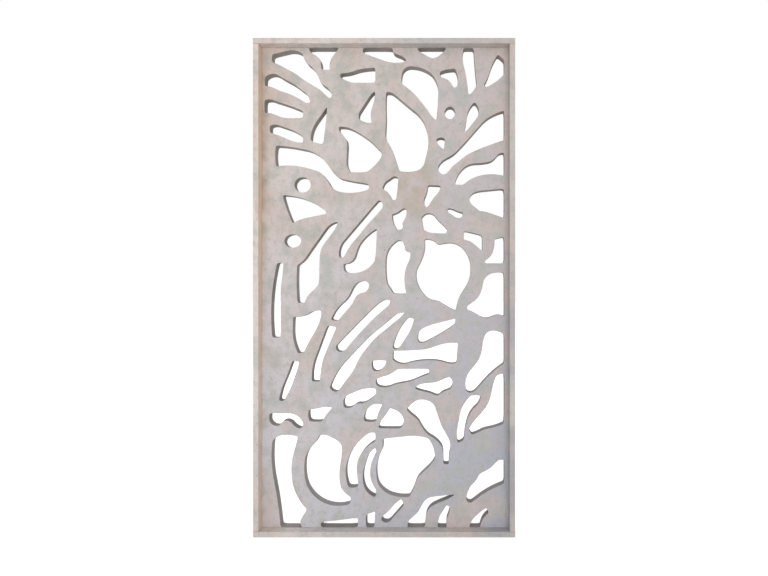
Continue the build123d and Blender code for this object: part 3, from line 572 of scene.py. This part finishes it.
def steel(name, patches, tints, dullness, metallic):
    """Steel in patches of a noise, which is given by its breadth, detail and roughness.

    Tints are the noise values between which the first colour turns into the second, and
    the two colours. Dullness is the same for two roughnesses of the shader.
    """
    material, tree = blank_material(name)
    coordinates = put(tree, "ShaderNodeTexCoord")
    breadth, detail, rough = patches
    patch = put(tree, "ShaderNodeTexNoise",
                {"Vector": coordinates.outputs["Object"], "Scale": 1 / breadth,
                 "Detail": detail, "Roughness": rough})
    low, high, first, second = tints
    share = put(tree, "ShaderNodeMapRange",
                {0: patch, 1: low, 2: high, 3: 0.0, 4: 1.0}, **SMOOTH)
    tinted = put(tree, "ShaderNodeMix",
                 {0: share, 6: colour(first), 7: colour(second)}, **COLOURS)
    low, high, first, second = dullness
    dull = put(tree, "ShaderNodeMapRange",
               {0: patch, 1: low, 2: high, 3: first, 4: second}, **SMOOTH)
    surface = put(tree, "ShaderNodeBsdfPrincipled",
                  {"Base Color": tinted, "Roughness": dull, "Metallic": metallic})
    put(tree, "ShaderNodeOutputMaterial", {"Surface": surface})
    print("made", name)
    return material


zinc_material = steel("mild steel, zinc plated", patches=(SPANGLE, 3.0, 0.5),
                      tints=(0.35, 0.70, "B9BCC0", "9A9DA3"),
                      dullness=(0.3, 0.7, 0.30, 0.48), metallic=1.0)
bar_material = steel("mild steel bar, mill scale and rust",
                     patches=(SCALE_PATCH, 5.0, 0.65),
                     tints=(0.42, 0.62, "5A5654", "7A4A2E"),
                     dullness=(0.4, 0.6, 0.45, 0.85), metallic=0.6)

# %% [markdown]
# ## Worn edges on the castings
#
# A cast edge is never a knife edge: the mould rounds it and handling wears it. The solids
# have sharp arrises, so each casting is copied, and its loose triangles are merged into
# one skin. The copy stands for the solid, which stays in the physics.

# %% Copy a solid and merge its skin
WELD = 0.005 * MM          # corners nearer than this are one corner


def merged_copy(node, name):
    """A copy of a solid with its triangles merged, left selected in edit mode."""
    bpy.ops.object.select_all(action="DESELECT")
    solid = frame["nodes"][node]
    piece = solid.copy()
    piece.data = solid.data.copy()
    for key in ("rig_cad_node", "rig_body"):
        del piece[key]
    piece.parent = None
    piece.name = piece.data.name = name
    bpy.context.scene.collection.objects.link(piece)
    piece.select_set(True)
    bpy.context.view_layer.objects.active = piece
    bpy.ops.mesh.customdata_custom_splitnormals_clear()
    bpy.ops.object.mode_set(mode="EDIT")
    bpy.ops.mesh.select_mode(type="EDGE")
    bpy.ops.mesh.select_all(action="SELECT")
    bpy.ops.mesh.remove_doubles(threshold=WELD)
    return piece


def select_faces(piece, wanted):
    """Selects the faces that wanted() accepts, and leaves the piece in edit mode."""
    bpy.ops.object.mode_set(mode="OBJECT")
    for part in (*piece.data.vertices, *piece.data.edges, *piece.data.polygons):
        part.select = False
    for face in piece.data.polygons:
        face.select = wanted(face)
    bpy.ops.object.mode_set(mode="EDIT")
    bpy.ops.mesh.select_mode(type="FACE")


def stand_for(piece, node, material):
    """Gives a finished copy its material, and lets it take the place of its solid."""
    piece.data.materials.clear()
    piece.data.materials.append(material)
    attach(piece, "root")
    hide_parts(node)
    print(piece.name, "has", len(piece.data.polygons), "faces")


# %% [markdown]
# A bevel modifier is not safe on a flat face with seventy-three holes, because the edges
# that join the holes throw its corners far away. An inset follows only the outline. The
# flat face is sunk by the wear, and two insets bring it back up, which leaves a quarter
# round with two facets along every arris.

# %% The leaf with worn arrises
LEAF_WEAR = 1.6 * MM
FIRST_FACET, SECOND_FACET = 0.293, 0.707   # shares of a quarter round cut in two
SQUARE_ON = 0.999          # Y of the normal beyond which a face is part of the flat faces

leaf = merged_copy("jali_leaf", "pierced_leaf")
for towards in (-1, 1):
    select_faces(leaf, lambda face: face.normal.y * towards > SQUARE_ON)
    bpy.ops.transform.translate(value=(0, -towards * LEAF_WEAR, 0))
    bpy.ops.mesh.inset(thickness=FIRST_FACET * LEAF_WEAR, depth=SECOND_FACET * LEAF_WEAR)
    bpy.ops.mesh.inset(thickness=SECOND_FACET * LEAF_WEAR, depth=FIRST_FACET * LEAF_WEAR)
print("front and back of the leaf worn by", round(LEAF_WEAR / MM, 2), "mm")

# %% [markdown]
# The outlines are still made of short straight runs. A subdivision surface rounds them:
# an edge with a full crease stays an arris, but a line of such edges becomes a smooth
# curve. Corners, where a creased edge runs through the thickness, stay corners. The new
# cuts across walls and arrises bend nothing, so they are dissolved again afterwards.

# %% Round the outlines
CORNER = math.radians(20)  # the runs of one curve turn by less than this at each step
STRAIGHT = math.radians(0.5)   # an edge that turns by less than this bends nothing

bpy.ops.mesh.select_mode(type="EDGE")
bpy.ops.mesh.select_all(action="DESELECT")
bpy.ops.mesh.edges_select_sharp(sharpness=CORNER)
bpy.ops.transform.edge_crease(value=1.0)
bpy.ops.object.mode_set(mode="OBJECT")
finer = leaf.modifiers.new("finer curves", "SUBSURF")
finer.levels = finer.render_levels = 1
bpy.ops.object.modifier_apply(modifier=finer.name)
print("with rounded outlines the leaf has", len(leaf.data.polygons), "faces")
select_faces(leaf, lambda face: abs(face.normal.y) < SQUARE_ON)
bpy.ops.mesh.dissolve_limited(angle_limit=STRAIGHT)

# %% [markdown]
# Long thin triangles of the flat front and back fold over when they are subdivided. So
# both flat faces are taken out, and each is filled again from its rounded outlines.

# %% Fill the flat front and back again
FLAT = 0.01 * MM           # a face whose corners are this near to a plane lies in it

for plane in (leaf_low.y, leaf_high.y):
    select_faces(leaf, lambda face: all(
        abs(leaf.data.vertices[v].co.y - plane) < FLAT for v in face.vertices))
    bpy.ops.mesh.delete(type="FACE")
    bpy.ops.mesh.select_mode(type="EDGE")
    bpy.ops.mesh.select_all(action="DESELECT")
    bpy.ops.mesh.select_non_manifold(use_wire=False, use_multi_face=False,
                                     use_non_contiguous=False, use_verts=False)
    bpy.ops.mesh.fill(use_beauty=True)
bpy.ops.mesh.select_all(action="SELECT")
bpy.ops.mesh.normals_make_consistent(inside=False)
bpy.ops.object.mode_set(mode="OBJECT")
print("filled again it has", len(leaf.data.polygons))

# %% [markdown]
# Smooth shading across the worn arris would also bend the light on the big flat face. So
# the flat faces are marked strong, and the weighted normal modifier lets them decide.

# %% Shade the leaf and put it in place
CREASED = math.radians(50) # edges that turn by more than this keep a hard line

select_faces(leaf, lambda face: abs(face.normal.y) > SQUARE_ON)
bpy.ops.mesh.mod_weighted_strength(set=True, face_strength="STRONG")
bpy.ops.object.mode_set(mode="OBJECT")
bpy.ops.object.shade_smooth_by_angle(angle=CREASED)
flat_faces = leaf.modifiers.new("flat faces stay flat", "WEIGHTED_NORMAL")
flat_faces.keep_sharp = True
flat_faces.use_face_influence = True
bpy.ops.object.modifier_apply(modifier=flat_faces.name)
stand_for(leaf, "jali_leaf", leaf_material)

# %% [markdown]
# The strips are plain bars, so a bevel modifier does for them.

# %% The four strips with worn arrises
BORDER_WEAR = 1.2 * MM
ARRIS = math.radians(35)   # an edge that turns by more than this is an arris

for side in ("head", "sill", "left_jamb", "right_jamb"):
    strip = merged_copy(f"{side}_strip", f"{side}_border")
    bpy.ops.mesh.dissolve_limited(angle_limit=STRAIGHT)
    bpy.ops.object.mode_set(mode="OBJECT")
    bpy.ops.object.shade_smooth()
    rounding = strip.modifiers.new("worn edge", "BEVEL")
    rounding.width = BORDER_WEAR
    rounding.segments = 2
    rounding.angle_limit = ARRIS
    rounding.harden_normals = True
    bpy.ops.object.modifier_apply(modifier=rounding.name)
    stand_for(strip, f"{side}_strip", border_material)

# %% [markdown]
# ## Finish the pieces that keep their solids
#
# The beds, sockets, pins and bars already have their real shape, so each only takes its
# material. What is sealed inside the concrete gets one too, since a section through the
# screen would show it.

# %% Give every solid its material
finishes = {"bedding_mortar": mortar_material, "socket_steel": zinc_material,
            "bar_steel": bar_material, "leaf_concrete": leaf_material,
            "border_concrete": border_material}
slots = {row["node"]: row["material_slot"] for row in frame["record"]["subparts"]}
for name, solid in frame["nodes"].items():
    solid.data.materials.clear()
    solid.data.materials.append(finishes[slots[name]])
print("finished", len(frame["nodes"]), "solids")

# %% [markdown]
# ## Background and floor
#
# The photograph is a cut-out on white. The world therefore shows white to the camera and
# to reflections, through the Light Path node, while the light that it throws on the screen
# stays plain.

# %% White world
AMBIENT = 0.68             # strength of the world's light on the screen


def looked_at(tree):
    """1 for rays from the camera, in reflections and through clear things, 0 for others."""
    rays = put(tree, "ShaderNodeLightPath")
    seen = put(tree, "ShaderNodeMath", {0: rays.outputs["Is Camera Ray"],
                                        1: rays.outputs["Is Glossy Ray"]},
               operation="MAXIMUM")
    return put(tree, "ShaderNodeMath", {0: seen, 1: rays.outputs["Is Transmission Ray"]},
               operation="MAXIMUM")


world = bpy.data.worlds.new("studio")
bpy.context.scene.world = world
world.use_nodes = True
air = world.node_tree
air.nodes.clear()
strength = put(air, "ShaderNodeMapRange",
               {0: looked_at(air), 1: 0.0, 2: 1.0, 3: AMBIENT, 4: 1.0})
sky = put(air, "ShaderNodeBackground", {"Color": colour("FFFFFF"), "Strength": strength})
put(air, "ShaderNodeOutputWorld", {"Surface": sky})
print("world light", AMBIENT)

# %% [markdown]
# The floor is a real, pale, matt floor, so it keeps the shadow of the screen and throws
# light up at it. To the camera and in reflections it also glows a little, just enough to
# come out white where no shadow lies.

# %% Pale floor
FLOOR_SIDE = 60.0
FLOOR_GLOW = 0.54          # with the light that falls on it, the floor comes out white

bpy.ops.object.select_all(action="DESELECT")
bpy.ops.mesh.primitive_plane_add(size=FLOOR_SIDE, location=(0, 0, 0))
floor = bpy.context.object
floor.name = "floor"
floor_material, ground = blank_material("matt white floor")
glow = put(ground, "ShaderNodeMath", {0: looked_at(ground), 1: FLOOR_GLOW}, **TIMES)
floor_surface = put(ground, "ShaderNodeBsdfPrincipled",
                    {"Base Color": colour("E8E6E4"), "Roughness": 0.9,
                     "Emission Color": colour("FFFFFF"), "Emission Strength": glow})
put(ground, "ShaderNodeOutputMaterial", {"Surface": floor_surface})
floor.data.materials.append(floor_material)
print("floor", FLOOR_SIDE, "metres wide")

# %% [markdown]
# ## Light
#
# The photograph's light is flat and comes from the front: the leaf's face is even, and the
# walls of the openings fall dark. One broad lamp in front, low and a little to the right,
# does that, together with the shade painted on the leaf's walls. A weak lamp behind keeps
# the back readable when the screen is looked at from there, and from the front it only
# brightens the walls of the openings a little.

# %% Two soft lamps
def soft_lamp(name, location, wide, high, watts):
    """A soft rectangular lamp that is turned towards the middle of the screen."""
    bpy.ops.object.light_add(type="AREA", location=location)
    lamp = bpy.context.object
    lamp.name = name
    lamp.data.shape = "RECTANGLE"
    lamp.data.size = wide
    lamp.data.size_y = high
    lamp.data.energy = watts
    away = lamp.location.copy()
    away.z -= HEIGHT / 2
    lamp.rotation_mode = "QUATERNION"
    lamp.rotation_quaternion = away.to_track_quat("Z", "Y")
    print(name, watts, "watts")


soft_lamp("broad lamp", location=(1.0, -4.6, 0.9), wide=4.0, high=2.6, watts=88)
soft_lamp("weak lamp", location=(-1.6, 4.6, 1.7), wide=3.0, high=2.4, watts=55)

# %% [markdown]
# ## Camera
#
# The photograph looks square on at the screen, but its eye stands to the right of the
# middle and about half way up: the left walls of the openings show, and the right ones do
# not. A camera that looks straight along the depth, moved sideways, with its frame shifted
# back over the screen, gives just that.

# %% Camera at the photograph's eye
EYE_DISTANCE = 2.140       # in front of the border's face
EYE_ACROSS = 0.2842        # right of the screen's middle
EYE_UP = 1.0118            # above the foot
SCALE_AT_FACE = 0.0040007  # metres a pixel at the border's face
FRAME_WIDE, FRAME_HIGH = 768, 576      # pixels of the photograph
LEFT_PIXEL, FOOT_PIXEL = 252.8, 537.6  # where the screen's left side and foot lie in it
SENSOR = 36.0              # width in millimetres that the lens's length refers to

camera_data = bpy.data.cameras.new("eye")
camera = bpy.data.objects.new("eye", camera_data)
bpy.context.scene.collection.objects.link(camera)
camera.location = (EYE_ACROSS, cad_low.y - EYE_DISTANCE, EYE_UP)
camera.rotation_euler = (math.radians(90), 0, 0)
camera_data.sensor_width = SENSOR
camera_data.lens = SENSOR * EYE_DISTANCE / (SCALE_AT_FACE * FRAME_WIDE)
eye_pixel_x = LEFT_PIXEL + (EYE_ACROSS + WIDTH / 2) / SCALE_AT_FACE
eye_pixel_y = FOOT_PIXEL - EYE_UP / SCALE_AT_FACE
camera_data.shift_x = (FRAME_WIDE / 2 - eye_pixel_x) / FRAME_WIDE
camera_data.shift_y = (eye_pixel_y - FRAME_HIGH / 2) / FRAME_WIDE
camera_data.clip_end = 100
bpy.context.scene.camera = camera
print("lens", round(camera_data.lens, 3), "shift", round(camera_data.shift_x, 4),
      round(camera_data.shift_y, 4))

# %% [markdown]
# ## View
#
# The Standard view shows colours as they are written.

# %% Standard view
bpy.context.scene.view_settings.view_transform = "Standard"
